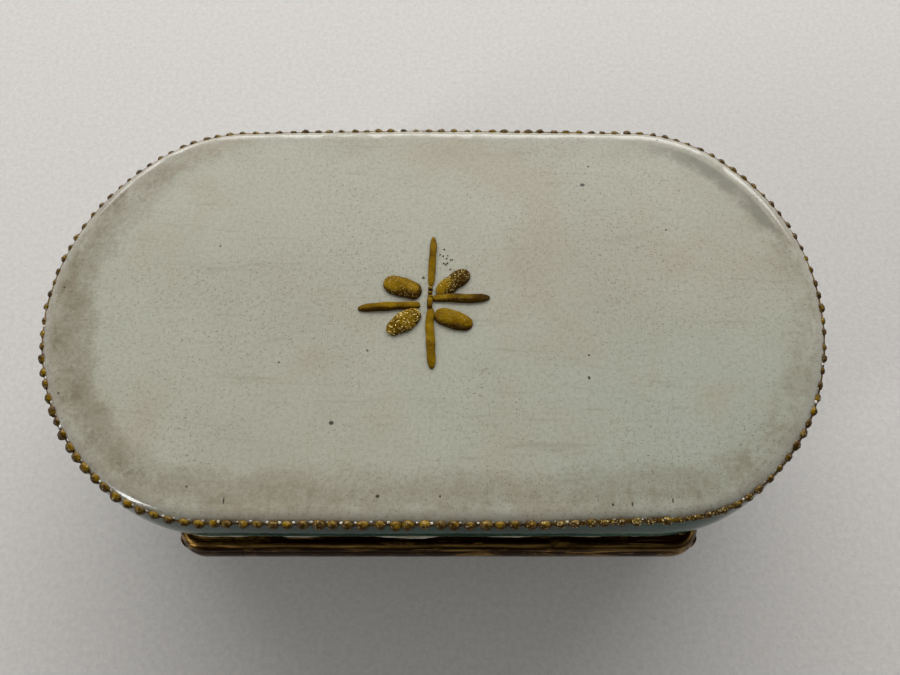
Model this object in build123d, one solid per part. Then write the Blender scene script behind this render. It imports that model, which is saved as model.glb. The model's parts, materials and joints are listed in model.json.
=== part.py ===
from build123d import *

import math
import os

# Porcelain trinket box with brass mounts and a seven-knuckle hinge, in millimetres.
# Frame: the box stands on the plane z = 0 with its centre above the origin. +Z is up, +X is along
# the length, the front with the thumb piece faces -Y, and the hinge is along the +Y side.
# Every outline is given as an offset from the bead line, positive outwards.

# ---- plan of the bead line ----
HALF_WIDTH = 21.4            # half the distance between the two straight sides
END_RADIUS = 22.7            # radius of the two round ends, a little over half the width
HALF_LENGTH = 40.0
END_CENTRE = HALF_LENGTH - END_RADIUS
CORNER_RADIUS = 16.0         # eases each straight side into its end arc

# ---- heights ----
PARTING_Z = 20.0             # plane where the lid meets the base, and height of the hinge axis
PARTING_GAP = 0.05           # half of the seam between the two brass rims
LID_TOP_Z = 27.55
EDGE_DROP = 0.65             # how far the bead line lies beyond the flat face of each shell
FACE_THICKNESS = 2.6         # porcelain between the outer flat face and the hollow

# ---- porcelain wall, as offsets from the bead line ----
FLAT_EDGE = -1.9             # where the flat face ends and the rounded shoulder begins
WALL_FLARE = 1.1             # the wall leans out this far below the beads
FLARE_HEIGHT = 4.4           # height over which it leans out
LIP_ROUND = 0.3
REBATE = -0.05               # the wall steps back to here behind the brass band
BASE_INSIDE = -1.9
LID_INSIDE = -1.55           # the lid is wider inside, to pass over the gallery
INSIDE_ROUND = 1.5           # radius between the inside of the wall and the inside of the face
PLATE_EDGE = -3.6            # the flat plate is joined to the swept wall here

# ---- brass band and its bedding ----
BAND_INNER = 0.2
BAND_OUTER = 0.75
BAND_HEIGHT = 2.2
RIM_THICKNESS = 0.5          # the leg of the band that covers the end of the porcelain wall
MOULDING_WIDTH = 0.25        # quarter round along the parting plane
MOULDING_HEIGHT = 0.7
BEDDING_THICKNESS = 0.3
BEDDING_EDGE = 0.95          # how far the bedding squeezes out between band and porcelain

# ---- gallery: the upright flange that keys the lid on the base ----
GALLERY_THICKNESS = 0.5
GALLERY_BELOW = 2.6
GALLERY_ABOVE = 1.3

# ---- hinge ----
AXIS_Y = HALF_WIDTH + 1.55
KNUCKLE_COUNT = 7
KNUCKLE_PITCH = 7.8          # the two end knuckles take what is left of the hinge's length
HINGE_HALF_LENGTH = 26.5
HINGE_CENTRE_X = -0.5        # the hinge was soldered on slightly off centre
HINGE_END_RADIUS = 3.1       # plan radius of the hinge's two filed ends
BARREL_RADIUS = 1.45
CHANNEL_RADIUS = 1.5         # hollow of the bearers, with running room for the barrel
PIN_RADIUS = 0.6
BASE_BORE = 0.62             # the pin sits tight in the base knuckles
LID_BORE = 0.65              # and turns freely in the lid knuckles
KNUCKLE_GAP = 0.1
BEARER_EDGE_ANGLE = 53.5     # from the outward direction, so the two bearers meet at full opening
BEARER_EDGE_RADIUS = 1.65
SOLDER_ANGLES = (62.0, 112.0)

# ---- beads ----
BEAD_RADIUS = 0.56
BEAD_PITCH = 1.4
BEAD_DROP = 0.2              # bead centres lie this far below the porcelain edge

# ---- raised paste motif on the lid, slightly off centre and uneven as if done by hand ----
# strokes: start point, end point, width
STROKES = (
    ((0.10, -7.85), (0.32, -1.30), 0.75),
    ((0.42, 0.15), (0.24, 6.55), 0.90),
    ((7.65, 0.28), (1.40, -0.19), 1.00),
    ((0.10, -0.66), (-5.65, -0.93), 0.95),
)
STROKE_HEIGHT = 0.35
# petals: start point, end point, width
PETALS = (
    ((5.20, -2.90), (1.35, -1.75), 2.10),
    ((-0.35, -1.75), (-3.55, -4.25), 1.95),
    ((4.60, 3.10), (1.50, 0.75), 2.05),
    ((-0.20, 0.55), (-4.00, 2.20), 1.95),
)
PETAL_HEIGHT = 0.5

# ---- thumb piece ----
THUMB_WIDTH = 9.0
THUMB_REACH = 2.3            # how far it stands out from the band
THUMB_BOTTOM = 0.75          # above the parting plane, clear of the moulding
THUMB_TOP = 2.15

os.makedirs("parts", exist_ok=True)

# Centre of the small corner arc, the same for every offset because all arcs are concentric
CORNER_X = END_CENTRE + math.sqrt(
    (END_RADIUS - CORNER_RADIUS) ** 2 - (HALF_WIDTH - CORNER_RADIUS) ** 2
)
CORNER_Y = HALF_WIDTH - CORNER_RADIUS
CORNER_ANGLE = math.degrees(math.atan2(CORNER_Y, CORNER_X - END_CENTRE))


def outline(offset):
    """Closed plan outline at an offset from the bead line, starting at the middle of the front."""
    width = HALF_WIDTH + offset
    corner = CORNER_RADIUS + offset
    end = END_RADIUS + offset
    turn = 90 - CORNER_ANGLE
    return Wire([
        Edge.make_line((0, -width), (CORNER_X, -width)),
        CenterArc((CORNER_X, -CORNER_Y), corner, -90, turn).edge(),
        CenterArc((END_CENTRE, 0), end, -CORNER_ANGLE, 2 * CORNER_ANGLE).edge(),
        CenterArc((CORNER_X, CORNER_Y), corner, CORNER_ANGLE, turn).edge(),
        Edge.make_line((CORNER_X, width), (-CORNER_X, width)),
        CenterArc((-CORNER_X, CORNER_Y), corner, 90, turn).edge(),
        CenterArc((-END_CENTRE, 0), end, 180 - CORNER_ANGLE, 2 * CORNER_ANGLE).edge(),
        CenterArc((-CORNER_X, -CORNER_Y), corner, 180 + CORNER_ANGLE, turn).edge(),
        Edge.make_line((-CORNER_X, -width), (0, -width)),
    ])


BEAD_LINE = outline(0)
# Section plane at the middle of the front: local x is the offset, local y is the height z
FRONT_SECTION = Plane(origin=(0, -HALF_WIDTH, 0), x_dir=(0, -1, 0), z_dir=(-1, 0, 0))


def prism(offset, bottom, top):
    """Solid inside the outline at an offset, between two heights."""
    return extrude(Pos(0, 0, bottom) * Face(outline(offset)), amount=top - bottom)


def ring(*profile):
    """Ring swept round the box from a closed profile of edges in (offset, height)."""
    section = FRONT_SECTION * Face(Wire(list(profile)))
    return sweep(section, path=BEAD_LINE)


def lines(*points):
    """Straight edges through the points in order."""
    return [Edge.make_line(a, b) for a, b in zip(points, points[1:])]


def arc(start, middle, end):
    return Edge.make_three_point_arc(start, middle, end)


def above_parting(offset, height):
    return (offset, PARTING_Z + height)


def turned_over(part):
    """Mirror a lid part to the base side of the parting plane."""
    return mirror(part, about=Plane.XY.offset(PARTING_Z))


# ---- porcelain ----

def shell(face_z, side, inside, wall_curve_height):
    """Porcelain shell. side is +1 for the lid, which opens downwards, and -1 for the base."""
    def at(offset, below_face):
        return (offset, face_z - side * below_face)

    lip = abs(face_z - PARTING_Z) - BAND_HEIGHT - BEDDING_THICKNESS
    wall_end = abs(face_z - PARTING_Z) - RIM_THICKNESS - BEDDING_THICKNESS
    flare_end = EDGE_DROP + wall_curve_height
    round_start = FACE_THICKNESS + INSIDE_ROUND
    knee = INSIDE_ROUND * (1 - math.sqrt(0.5))
    edges = lines(at(PLATE_EDGE, 0), at(FLAT_EDGE, 0))
    edges.append(arc(at(FLAT_EDGE, 0), at(FLAT_EDGE / 2.2, 0.2), at(0, EDGE_DROP)))
    edges.append(arc(
        at(0, EDGE_DROP),
        at(0.68 * WALL_FLARE, EDGE_DROP + 0.42 * wall_curve_height),
        at(WALL_FLARE, flare_end - LIP_ROUND),
    ))
    if lip > flare_end:
        edges += lines(at(WALL_FLARE, flare_end - LIP_ROUND), at(WALL_FLARE, lip - LIP_ROUND))
    edges += lines(
        at(WALL_FLARE, lip - LIP_ROUND),
        at(WALL_FLARE - LIP_ROUND / 2, lip),
        at(REBATE, lip),
        at(REBATE, wall_end),
        at(inside, wall_end),
        at(inside, round_start),
    )
    edges.append(arc(
        at(inside, round_start),
        at(inside - knee, FACE_THICKNESS + knee),
        at(inside - INSIDE_ROUND, FACE_THICKNESS),
    ))
    edges += lines(
        at(inside - INSIDE_ROUND, FACE_THICKNESS),
        at(PLATE_EDGE, FACE_THICKNESS),
        at(PLATE_EDGE, 0),
    )
    low, high = sorted((face_z, face_z - side * FACE_THICKNESS))
    return ring(*edges) + prism(PLATE_EDGE, low, high)


# ---- brass band, bedding and gallery ----

def hinge_rod(radius, length, centre_x=HINGE_CENTRE_X):
    """Cylinder on the hinge axis."""
    return Pos(centre_x, AXIS_Y, PARTING_Z) * Cylinder(radius, length, rotation=(0, 90, 0))


def hinge_channel():
    """Round channel along the back, cut into the bands and their bedding for the barrel."""
    return hinge_rod(CHANNEL_RADIUS, 2 * HINGE_HALF_LENGTH + 0.2)


def band(inside):
    """Brass band of the lid: a leg round the wall, a leg under its rim and a quarter round."""
    moulding_edge = BAND_OUTER + MOULDING_WIDTH
    bend = math.sqrt(0.5)
    edges = lines(
        above_parting(moulding_edge, PARTING_GAP),
        above_parting(inside, PARTING_GAP),
        above_parting(inside, RIM_THICKNESS),
        above_parting(BAND_INNER, RIM_THICKNESS),
        above_parting(BAND_INNER, BAND_HEIGHT),
        above_parting(BAND_OUTER, BAND_HEIGHT),
        above_parting(BAND_OUTER, MOULDING_HEIGHT),
    )
    edges.append(arc(
        above_parting(BAND_OUTER, MOULDING_HEIGHT),
        above_parting(BAND_OUTER + MOULDING_WIDTH * bend, MOULDING_HEIGHT * bend),
        above_parting(moulding_edge, PARTING_GAP),
    ))
    return ring(*edges) - hinge_channel()


def bedding(inside):
    """Plaster between the lid's porcelain and its band, squeezed out in a thin white line."""
    top = BAND_HEIGHT + BEDDING_THICKNESS
    edges = lines(
        above_parting(inside, RIM_THICKNESS),
        above_parting(BAND_INNER, RIM_THICKNESS),
        above_parting(BAND_INNER, BAND_HEIGHT),
        above_parting(BEDDING_EDGE, BAND_HEIGHT),
        above_parting(BEDDING_EDGE, top),
        above_parting(REBATE, top),
        above_parting(REBATE, RIM_THICKNESS + BEDDING_THICKNESS),
        above_parting(inside, RIM_THICKNESS + BEDDING_THICKNESS),
        above_parting(inside, RIM_THICKNESS),
    )
    return ring(*edges) - hinge_channel()


def gallery():
    """Upright brass flange inside the base's rim."""
    outer = BASE_INSIDE
    inner = BASE_INSIDE - GALLERY_THICKNESS
    return ring(*lines(
        above_parting(outer, -GALLERY_BELOW),
        above_parting(outer, GALLERY_ABOVE),
        above_parting(inner, GALLERY_ABOVE),
        above_parting(inner, -GALLERY_BELOW),
        above_parting(outer, -GALLERY_BELOW),
    ))


# ---- hinge ----

def hinge_point(outward, up):
    """Point in the hinge's cross section, measured from its axis."""
    return (AXIS_Y + outward, PARTING_Z + up)


def polar_hinge_point(radius, angle):
    return hinge_point(radius * math.cos(math.radians(angle)), radius * math.sin(math.radians(angle)))


def along_hinge(face):
    """Extrude a face drawn in (y, z) over the hinge's whole length."""
    return Pos(HINGE_CENTRE_X, 0, 0) * extrude(Plane.YZ * face, amount=HINGE_HALF_LENGTH, both=True)


def filed_ends():
    """Everything inside the hinge's plan shape, whose two outer corners are filed round."""
    reach = AXIS_Y + BARREL_RADIUS + 0.05
    depth = 6.0
    plan = Pos(HINGE_CENTRE_X, reach - depth / 2) * Rectangle(2 * HINGE_HALF_LENGTH, depth)
    plan = fillet(plan.vertices().filter_by(lambda v: v.Y > AXIS_Y), HINGE_END_RADIUS)
    return extrude(Pos(0, 0, PARTING_Z - 4) * plan, amount=8)


def bearer(lid_band):
    """Long brass strip soldered to the lid's band, hooded over the barrel, with a cove above."""
    tip_in = polar_hinge_point(CHANNEL_RADIUS, BEARER_EDGE_ANGLE)
    tip_out = polar_hinge_point(BEARER_EDGE_RADIUS, BEARER_EDGE_ANGLE)
    crown = hinge_point(0.1, 1.92)
    top = hinge_point(-0.8, BAND_HEIGHT)
    edges = [arc(tip_out, hinge_point(0.63, 1.74), crown)]
    edges.append(arc(crown, hinge_point(-0.47, 1.95), top))
    edges += lines(
        top,
        hinge_point(-2.2, BAND_HEIGHT),
        hinge_point(-2.2, PARTING_GAP),
        hinge_point(-0.5, PARTING_GAP),
        tip_in,
        tip_out,
    )
    strip = along_hinge(Face(Wire(edges)))
    strip -= hinge_channel()
    strip -= prism(BAND_OUTER, PARTING_Z - 4, PARTING_Z + 4)
    strip -= lid_band
    return (strip & filed_ends()).solids().sort_by(SortBy.VOLUME)[-1]


def solder_seam():
    """Thin filling between the barrel and the channel of the lid's bearer."""
    low, high = SOLDER_ANGLES
    middle = (low + high) / 2
    inner = BARREL_RADIUS - 0.1
    outer = CHANNEL_RADIUS
    edges = [
        arc(*(polar_hinge_point(outer, angle) for angle in (low, middle, high))),
        *lines(polar_hinge_point(outer, high), polar_hinge_point(inner, high)),
        arc(*(polar_hinge_point(inner, angle) for angle in (high, middle, low))),
        *lines(polar_hinge_point(inner, low), polar_hinge_point(outer, low)),
    ]
    return along_hinge(Face(Wire(edges)))


def knuckles():
    """Seven lengths of tube, alternately soldered to the base's and the lid's bearer."""
    inner_half = (KNUCKLE_COUNT - 2) / 2 * KNUCKLE_PITCH
    joints = [index * KNUCKLE_PITCH - inner_half for index in range(KNUCKLE_COUNT - 1)]
    ends = [-HINGE_HALF_LENGTH, *joints, HINGE_HALF_LENGTH]
    seam = solder_seam()
    seams = {"base": turned_over(seam), "lid": seam}
    bores = {"base": BASE_BORE, "lid": LID_BORE}
    counts = {"base": 0, "lid": 0}
    result = {}
    for index in range(KNUCKLE_COUNT):
        owner = "lid" if index % 2 else "base"
        counts[owner] += 1
        centre_x = HINGE_CENTRE_X + (ends[index] + ends[index + 1]) / 2
        length = ends[index + 1] - ends[index] - KNUCKLE_GAP
        slab = Pos(centre_x, AXIS_Y, PARTING_Z) * Box(length, 6, 6)
        tube = hinge_rod(BARREL_RADIUS, length, centre_x)
        tube += seams[owner] & slab
        tube -= hinge_rod(bores[owner], length + 1, centre_x)
        if index in (0, KNUCKLE_COUNT - 1):
            tube = tube & filed_ends()
        result[f"{owner}_hinge_knuckle_{counts[owner]}"] = tube
    return result


def hinge_pin():
    """Pin through all the knuckles, filed flush with the hinge's rounded ends."""
    return hinge_rod(PIN_RADIUS, 2 * HINGE_HALF_LENGTH) & filed_ends()


# ---- beads, motif and thumb piece ----

def bead_border(edge_z):
    """Round beads evenly spaced along the bead line."""
    count = round(BEAD_LINE.length / BEAD_PITCH)
    places = [BEAD_LINE.position_at((index + 0.5) / count) for index in range(count)]
    return Compound([Pos(place.X, place.Y, edge_z) * Sphere(BEAD_RADIUS) for place in places])


def raised_on_lid(start, end, body):
    """Place a body drawn along X at the origin so that it runs from start to end on the lid."""
    across = end[0] - start[0]
    along = end[1] - start[1]
    middle = Pos((start[0] + end[0]) / 2, (start[1] + end[1]) / 2, LID_TOP_Z)
    return middle * Rot(0, 0, math.degrees(math.atan2(along, across))) * body


def motif_strokes():
    strokes = []
    for start, end, width in STROKES:
        stroke = extrude(SlotOverall(math.dist(start, end) + width, width), amount=STROKE_HEIGHT)
        stroke = fillet(stroke.faces().sort_by(Axis.Z)[-1].edges(), 0.85 * STROKE_HEIGHT)
        strokes.append(raised_on_lid(start, end, stroke))
    return Compound(strokes)


def motif_petals():
    petals = []
    for start, end, width in PETALS:
        size = (math.dist(start, end) / 2, width / 2, PETAL_HEIGHT)
        dome = scale(Sphere(1), by=size) & Pos(0, 0, 5) * Box(10, 10, 10)
        petals.append(raised_on_lid(start, end, dome))
    return Compound(petals)


def thumb_piece():
    """Rounded lug on the front of the lid's band."""
    front = -(HALF_WIDTH + BAND_OUTER)
    lug = Pos(0, front) * Ellipse(THUMB_WIDTH / 2, THUMB_REACH)
    lug = extrude(Pos(0, 0, PARTING_Z + THUMB_BOTTOM) * lug, amount=THUMB_TOP - THUMB_BOTTOM)
    lug = fillet(lug.faces().filter_by(Axis.Z).edges(), 0.55)
    return lug - prism(BAND_OUTER, PARTING_Z - 4, PARTING_Z + 4)


def build():
    lid_band = band(LID_INSIDE)
    lid_bearer = bearer(lid_band)
    lid_edge_z = LID_TOP_Z - EDGE_DROP - BEAD_DROP
    base_edge_z = EDGE_DROP + BEAD_DROP
    parts = {
        "base_shell": shell(0.0, -1, BASE_INSIDE, FLARE_HEIGHT),
        "base_bead_border": bead_border(base_edge_z),
        "base_bedding": turned_over(bedding(BASE_INSIDE)),
        "base_rim_band": turned_over(band(BASE_INSIDE)),
        "base_gallery": gallery(),
        "base_joint_bearer": turned_over(lid_bearer),
        "lid_shell": shell(LID_TOP_Z, 1, LID_INSIDE, FLARE_HEIGHT),
        "lid_bead_border": bead_border(lid_edge_z),
        "lid_motif_strokes": motif_strokes(),
        "lid_motif_petals": motif_petals(),
        "lid_bedding": bedding(LID_INSIDE),
        "lid_rim_band": lid_band,
        "lid_joint_bearer": lid_bearer,
        "lid_thumb_piece": thumb_piece(),
        "hinge_pin": hinge_pin(),
    }
    parts.update(knuckles())
    return parts


for name, part in build().items():
    export_step(part, os.path.join("parts", f"{name}.step"))
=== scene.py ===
import json
import math
import random

import bmesh
import bpy
import numpy as np
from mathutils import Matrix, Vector, noise


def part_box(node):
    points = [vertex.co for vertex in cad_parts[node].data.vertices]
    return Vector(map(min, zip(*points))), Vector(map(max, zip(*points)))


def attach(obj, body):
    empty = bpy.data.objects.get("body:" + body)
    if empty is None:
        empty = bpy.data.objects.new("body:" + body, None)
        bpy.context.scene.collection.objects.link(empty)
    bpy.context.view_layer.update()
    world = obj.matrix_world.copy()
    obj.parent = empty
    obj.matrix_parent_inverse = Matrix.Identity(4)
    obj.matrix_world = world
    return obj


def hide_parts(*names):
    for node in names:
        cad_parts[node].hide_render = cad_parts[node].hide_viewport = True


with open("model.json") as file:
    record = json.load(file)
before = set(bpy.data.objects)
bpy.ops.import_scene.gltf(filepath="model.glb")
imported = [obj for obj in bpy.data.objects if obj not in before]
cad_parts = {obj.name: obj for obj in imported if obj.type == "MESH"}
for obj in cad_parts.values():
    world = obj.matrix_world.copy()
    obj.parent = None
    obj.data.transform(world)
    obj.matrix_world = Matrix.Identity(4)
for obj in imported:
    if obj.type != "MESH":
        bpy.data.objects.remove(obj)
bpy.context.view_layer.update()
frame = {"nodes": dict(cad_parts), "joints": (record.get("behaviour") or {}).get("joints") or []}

# Porcelain trinket box. Everything below is in millimetres in the CAD frame and becomes metres
# only where a mesh, a light or the camera is made. Offsets are measured outwards from the bead line.
MM = 0.001


def node_box(node):
    """Lowest and highest corner of a CAD node, in millimetres."""
    low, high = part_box(node)
    return low / MM, high / MM


# ---- places taken from the CAD frame ----
HINGE_AXIS = Vector(frame["joints"][0]["pos_m"]) / MM
PARTING_Z = HINGE_AXIS.z
LID_BEADS_LOW, LID_BEADS_HIGH = node_box("lid_bead_border")
BASE_BEADS_LOW, BASE_BEADS_HIGH = node_box("base_bead_border")
LID_LOW, LID_HIGH = node_box("lid_shell")
BASE_LOW = node_box("base_shell")[0]
BAND_HIGH = node_box("lid_rim_band")[1]
PETALS_HIGH = node_box("lid_motif_petals")[1]
STROKES_HIGH = node_box("lid_motif_strokes")[1]
HINGE_LOW, HINGE_HIGH = node_box("lid_joint_bearer")
KNUCKLE_HIGH = node_box("lid_hinge_knuckle_1")[1]
THUMB_LOW, THUMB_HIGH = node_box("lid_thumb_piece")

# ---- plan of the bead line ----
BEAD_RADIUS = (LID_BEADS_HIGH.z - LID_BEADS_LOW.z) / 2
HALF_LENGTH = LID_BEADS_HIGH.x - BEAD_RADIUS
HALF_WIDTH = LID_BEADS_HIGH.y - BEAD_RADIUS
END_RADIUS = HALF_WIDTH + 1.3
END_CENTRE = HALF_LENGTH - END_RADIUS
CORNER_RADIUS = 16.0
CORNER_X = END_CENTRE + math.sqrt((END_RADIUS - CORNER_RADIUS) ** 2 - (HALF_WIDTH - CORNER_RADIUS) ** 2)
CORNER_Y = HALF_WIDTH - CORNER_RADIUS
CORNER_ANGLE = math.atan2(CORNER_Y, CORNER_X - END_CENTRE)

# ---- porcelain ----
AROUND = 720                 # points round each swept ring
FLARE = LID_HIGH.x - HALF_LENGTH
FLARE_HEIGHT = 4.4
EDGE_DROP = 0.65             # the bead line lies this far below the face
FLAT_EDGE = -1.9             # the rounded shoulder starts here
PLATE_EDGE = -3.6            # the rings that fill the face end here
FACE_THICKNESS = 2.6
LID_INSIDE = -1.55           # inner wall of the lid's hollow
BASE_INSIDE = -1.9           # inner wall of the base's hollow
INSIDE_ROUND = 1.5
LIP_ROUND = 0.3
REBATE = -0.05               # the wall inside the lip, where the bedding sits
BAND_OUTER = 0.75            # outer face of the brass bands
BAND_HEIGHT = BAND_HIGH.z - PARTING_Z
LIP_HEIGHT = BAND_HEIGHT + 0.3
WALL_END = LID_LOW.z - PARTING_Z
FACE, WALL, INSIDE = range(3)    # kinds of ring, and the shell's material slots

# ---- beads ----
BEAD_PITCH = 1.4

# ---- hinge ----
BARREL_RADIUS = KNUCKLE_HIGH.y - HINGE_AXIS.y
CHANNEL_RADIUS = BARREL_RADIUS + 0.05
HINGE_END_RADIUS = 3.1       # plan radius of the hinge's two filed ends

# ---- camera, matched to the photo's view ----
CAMERA_LENS = 26
CAMERA_TILT = 18.2           # degrees from straight down, leaning towards the front
CAMERA_PLACE = Vector((-1.66, 23.86, LID_HIGH.z - EDGE_DROP + 62.77))


def srgb(red, green, blue):
    """Linear colour from display values of 0 to 255."""
    return tuple((value / 255) ** 2.2 for value in (red, green, blue)) + (1.0,)


def clamp(value):
    return min(max(value, 0), 1)


# ------------ bead line

def arc(x, y, radius, start, turn):
    return "arc", (x, y), (radius, start), radius * turn


def outline_segments():
    """The bead line as straight stretches and arcs, from the middle of the front."""
    turn = math.pi / 2 - CORNER_ANGLE
    sweep = 2 * CORNER_ANGLE
    return [
        ("line", (0, -HALF_WIDTH), (1, 0), CORNER_X),
        arc(CORNER_X, -CORNER_Y, CORNER_RADIUS, -math.pi / 2, turn),
        arc(END_CENTRE, 0, END_RADIUS, -CORNER_ANGLE, sweep),
        arc(CORNER_X, CORNER_Y, CORNER_RADIUS, CORNER_ANGLE, turn),
        ("line", (CORNER_X, HALF_WIDTH), (-1, 0), 2 * CORNER_X),
        arc(-CORNER_X, CORNER_Y, CORNER_RADIUS, math.pi / 2, turn),
        arc(-END_CENTRE, 0, END_RADIUS, math.pi - CORNER_ANGLE, sweep),
        arc(-CORNER_X, -CORNER_Y, CORNER_RADIUS, math.pi + CORNER_ANGLE, turn),
        ("line", (-CORNER_X, -HALF_WIDTH), (1, 0), CORNER_X),
    ]


SEGMENTS = outline_segments()
BEAD_LINE_LENGTH = sum(segment[3] for segment in SEGMENTS)


def bead_line(distance):
    """Point and outward normal of the bead line at a distance from the middle of the front."""
    distance %= BEAD_LINE_LENGTH
    for kind, place, shape, length in SEGMENTS:
        if distance <= length:
            break
        distance -= length
    if kind == "line":
        point = (place[0] + shape[0] * distance, place[1])
        normal = (0.0, -float(shape[0]))
    else:
        radius, start = shape
        angle = start + distance / radius
        normal = (math.cos(angle), math.sin(angle))
        point = (place[0] + radius * normal[0], place[1] + radius * normal[1])
    return point, normal


LINE = [bead_line(k / AROUND * BEAD_LINE_LENGTH) for k in range(AROUND)]
LINE_POINTS = np.array([point for point, normal in LINE])
LINE_NORMALS = np.array([normal for point, normal in LINE])
SPINE = np.stack([np.clip(LINE_POINTS[:, 0], -END_CENTRE, END_CENTRE), np.zeros(AROUND)], axis=1)


def wave(x, y, z, seed):
    """Smooth noise from -1 to 1 at a point in its own units."""
    return noise.noise(Vector((x + 31.7 * seed, y - 12.3 * seed, z + 5.9 * seed)))


def wave_round(length, seed):
    """Smooth noise round the bead line, one value for each of its points."""
    return np.array([wave(x / length, y / length, 0, seed) for x, y in LINE_POINTS])


def hand_sway(point, normal):
    """How far the hand-finished edge stands outside the true bead line: skewed, bowed and wavy."""
    x, y = point
    across, along = normal
    if along < 0:
        skew = 0.5 * across * along
        bow = 0.28 * min(1, (x / 21) ** 2) * along
    else:
        skew = 0.2 * max(across, 0) * along - 0.95 * min(across, 0) * along ** 2
        bow = (0.18 - 0.26 * min(1, (x / 25) ** 2) - 0.3 * clamp(-x / 12 - 1)) * along
    tuck = -0.05 * max(across, 0) * (1 - abs(along))
    return skew + tuck + bow + 0.07 * wave(x / 9, y / 9, 0, 3) + 0.03 * wave(x / 2.5, y / 2.5, 0, 6)


EDGE_SWAY = np.array([hand_sway(point, normal) for point, normal in LINE])


# ------------ meshes

def arc_points(start, middle, end, count):
    """Points on the circle through three points, from the first to the last."""
    (ax, ay), (bx, by), (cx, cy) = start, middle, end
    d = 2 * (ax * (by - cy) + bx * (cy - ay) + cx * (ay - by))
    a2, b2, c2 = ax * ax + ay * ay, bx * bx + by * by, cx * cx + cy * cy
    ux = (a2 * (by - cy) + b2 * (cy - ay) + c2 * (ay - by)) / d
    uy = (a2 * (cx - bx) + b2 * (ax - cx) + c2 * (bx - ax)) / d
    radius = math.hypot(ax - ux, ay - uy)
    first, half, last = (math.atan2(y - uy, x - ux) for x, y in (start, middle, end))
    span = (last - first + math.pi) % (2 * math.pi) - math.pi
    if abs((half - first - span / 2 + math.pi) % (2 * math.pi) - math.pi) > math.pi / 2:
        span -= math.copysign(2 * math.pi, span)
    angles = [first + span * k / (count - 1) for k in range(count)]
    return [(ux + radius * math.cos(a), uy + radius * math.sin(a)) for a in angles]


def straight(start, end, count):
    return [tuple(a + (b - a) * k / (count - 1) for a, b in zip(start, end)) for k in range(count)]


def joined(*runs):
    """Runs of points end to end, without the doubled points between them."""
    points = list(runs[0])
    for run in runs[1:]:
        points += run[1:]
    return points


def make_piece(name, vertices, faces, materials, slots=None, attributes=None):
    """Smooth mesh object from vertices in millimetres, with a material slot for each face."""
    mesh = bpy.data.meshes.new(name)
    mesh.from_pydata([tuple(v) for v in np.asarray(vertices) * MM], [], faces)
    for material in materials:
        mesh.materials.append(material)
    mesh.polygons.foreach_set("use_smooth", [True] * len(mesh.polygons))
    if slots is not None:
        mesh.polygons.foreach_set("material_index", slots)
    for key, values in (attributes or {}).items():
        mesh.attributes.new(key, "FLOAT", "POINT").data.foreach_set("value", values)
    mesh.update()
    piece = bpy.data.objects.new(name, mesh)
    bpy.context.scene.collection.objects.link(piece)
    return piece


def clean(piece, sharp_angle=None):
    """Merge doubled points, turn every face outwards and mark sharp edges."""
    bm = bmesh.new()
    bm.from_mesh(piece.data)
    bmesh.ops.remove_doubles(bm, verts=bm.verts, dist=0.002 * MM)
    bmesh.ops.recalc_face_normals(bm, faces=bm.faces)
    if sharp_angle is not None:
        for edge in bm.edges:
            edge.smooth = edge.calc_face_angle(0) < math.radians(sharp_angle)
    bm.to_mesh(piece.data)
    bm.free()
    return piece


def grid_faces(rows, columns, wrap_rows=False, wrap_columns=True):
    """Quads of a grid whose points run along each row in turn."""
    faces = []
    for row in range(rows if wrap_rows else rows - 1):
        for column in range(columns if wrap_columns else columns - 1):
            after = (column + 1) % columns
            here = row * columns
            below = (row + 1) % rows * columns
            faces.append((here + column, here + after, below + after, below + column))
    return faces


def capped(rows, columns):
    """Faces of a tube of that many rings, closed at its first and last ring."""
    last = (rows - 1) * columns
    faces = grid_faces(rows, columns)
    faces.append(tuple(range(columns)))
    faces.append(tuple(last + k for k in reversed(range(columns))))
    return faces


def ring_at(offset, height, drift=0.0):
    """Ring of points round the box. drift moves each point outwards by its own amount."""
    flat = LINE_POINTS + LINE_NORMALS * np.reshape(offset + drift, (-1, 1))
    return np.column_stack([flat, np.broadcast_to(height, AROUND)])


def fill_rings(offset, height, count):
    """Rings that shrink a ring on to the box's centre line, closing a flat face."""
    edge = LINE_POINTS + LINE_NORMALS * offset
    rings = []
    for k in range(count):
        share = k / (count - 1)
        flat = SPINE + (edge - SPINE) * share
        rings.append(np.column_stack([flat, np.full(AROUND, height)]))
    return rings


def settle(piece, body, slot_name, *nodes):
    """Put a finished piece on its body in place of CAD nodes."""
    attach(piece, body)
    if nodes:
        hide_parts(*nodes)


# ------------ materials

class Tree:
    """A node tree with short ways to build in it."""

    def __init__(self, tree):
        self.nodes = tree.nodes
        self.links = tree.links

    def put(self, value, socket):
        """Link an output to a socket, or set a plain value on it."""
        if isinstance(value, bpy.types.NodeSocket):
            self.links.new(value, socket)
        else:
            socket.default_value = value

    def wire(self, node, inputs):
        """Link or set a node's inputs by name."""
        for key, value in inputs.items():
            self.put(value, node.inputs[key.replace("_", " ")])
        return node

    def add(self, kind, settings=(), **inputs):
        """New shader node with its (setting, value) pairs and its named inputs."""
        node = self.nodes.new("ShaderNode" + kind)
        for key, value in settings:
            setattr(node, key, value)
        return self.wire(node, inputs)

    def ramp(self, value, low, high, start=0.0, end=1.0):
        """Smooth step from start to end as value goes from low to high."""
        smooth = [("interpolation_type", "SMOOTHSTEP")]
        span = {"From_Min": low, "From_Max": high, "To_Min": start, "To_Max": end}
        return self.add("MapRange", smooth, Value=value, **span).outputs["Result"]

    def math(self, operation, first, second=0.0):
        node = self.add("Math", [("operation", operation)])
        self.put(first, node.inputs[0])
        self.put(second, node.inputs[1])
        return node.outputs[0]

    def times(self, first, second):
        return self.math("MULTIPLY", first, second)

    def plus(self, first, second):
        return self.math("ADD", first, second)


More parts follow.
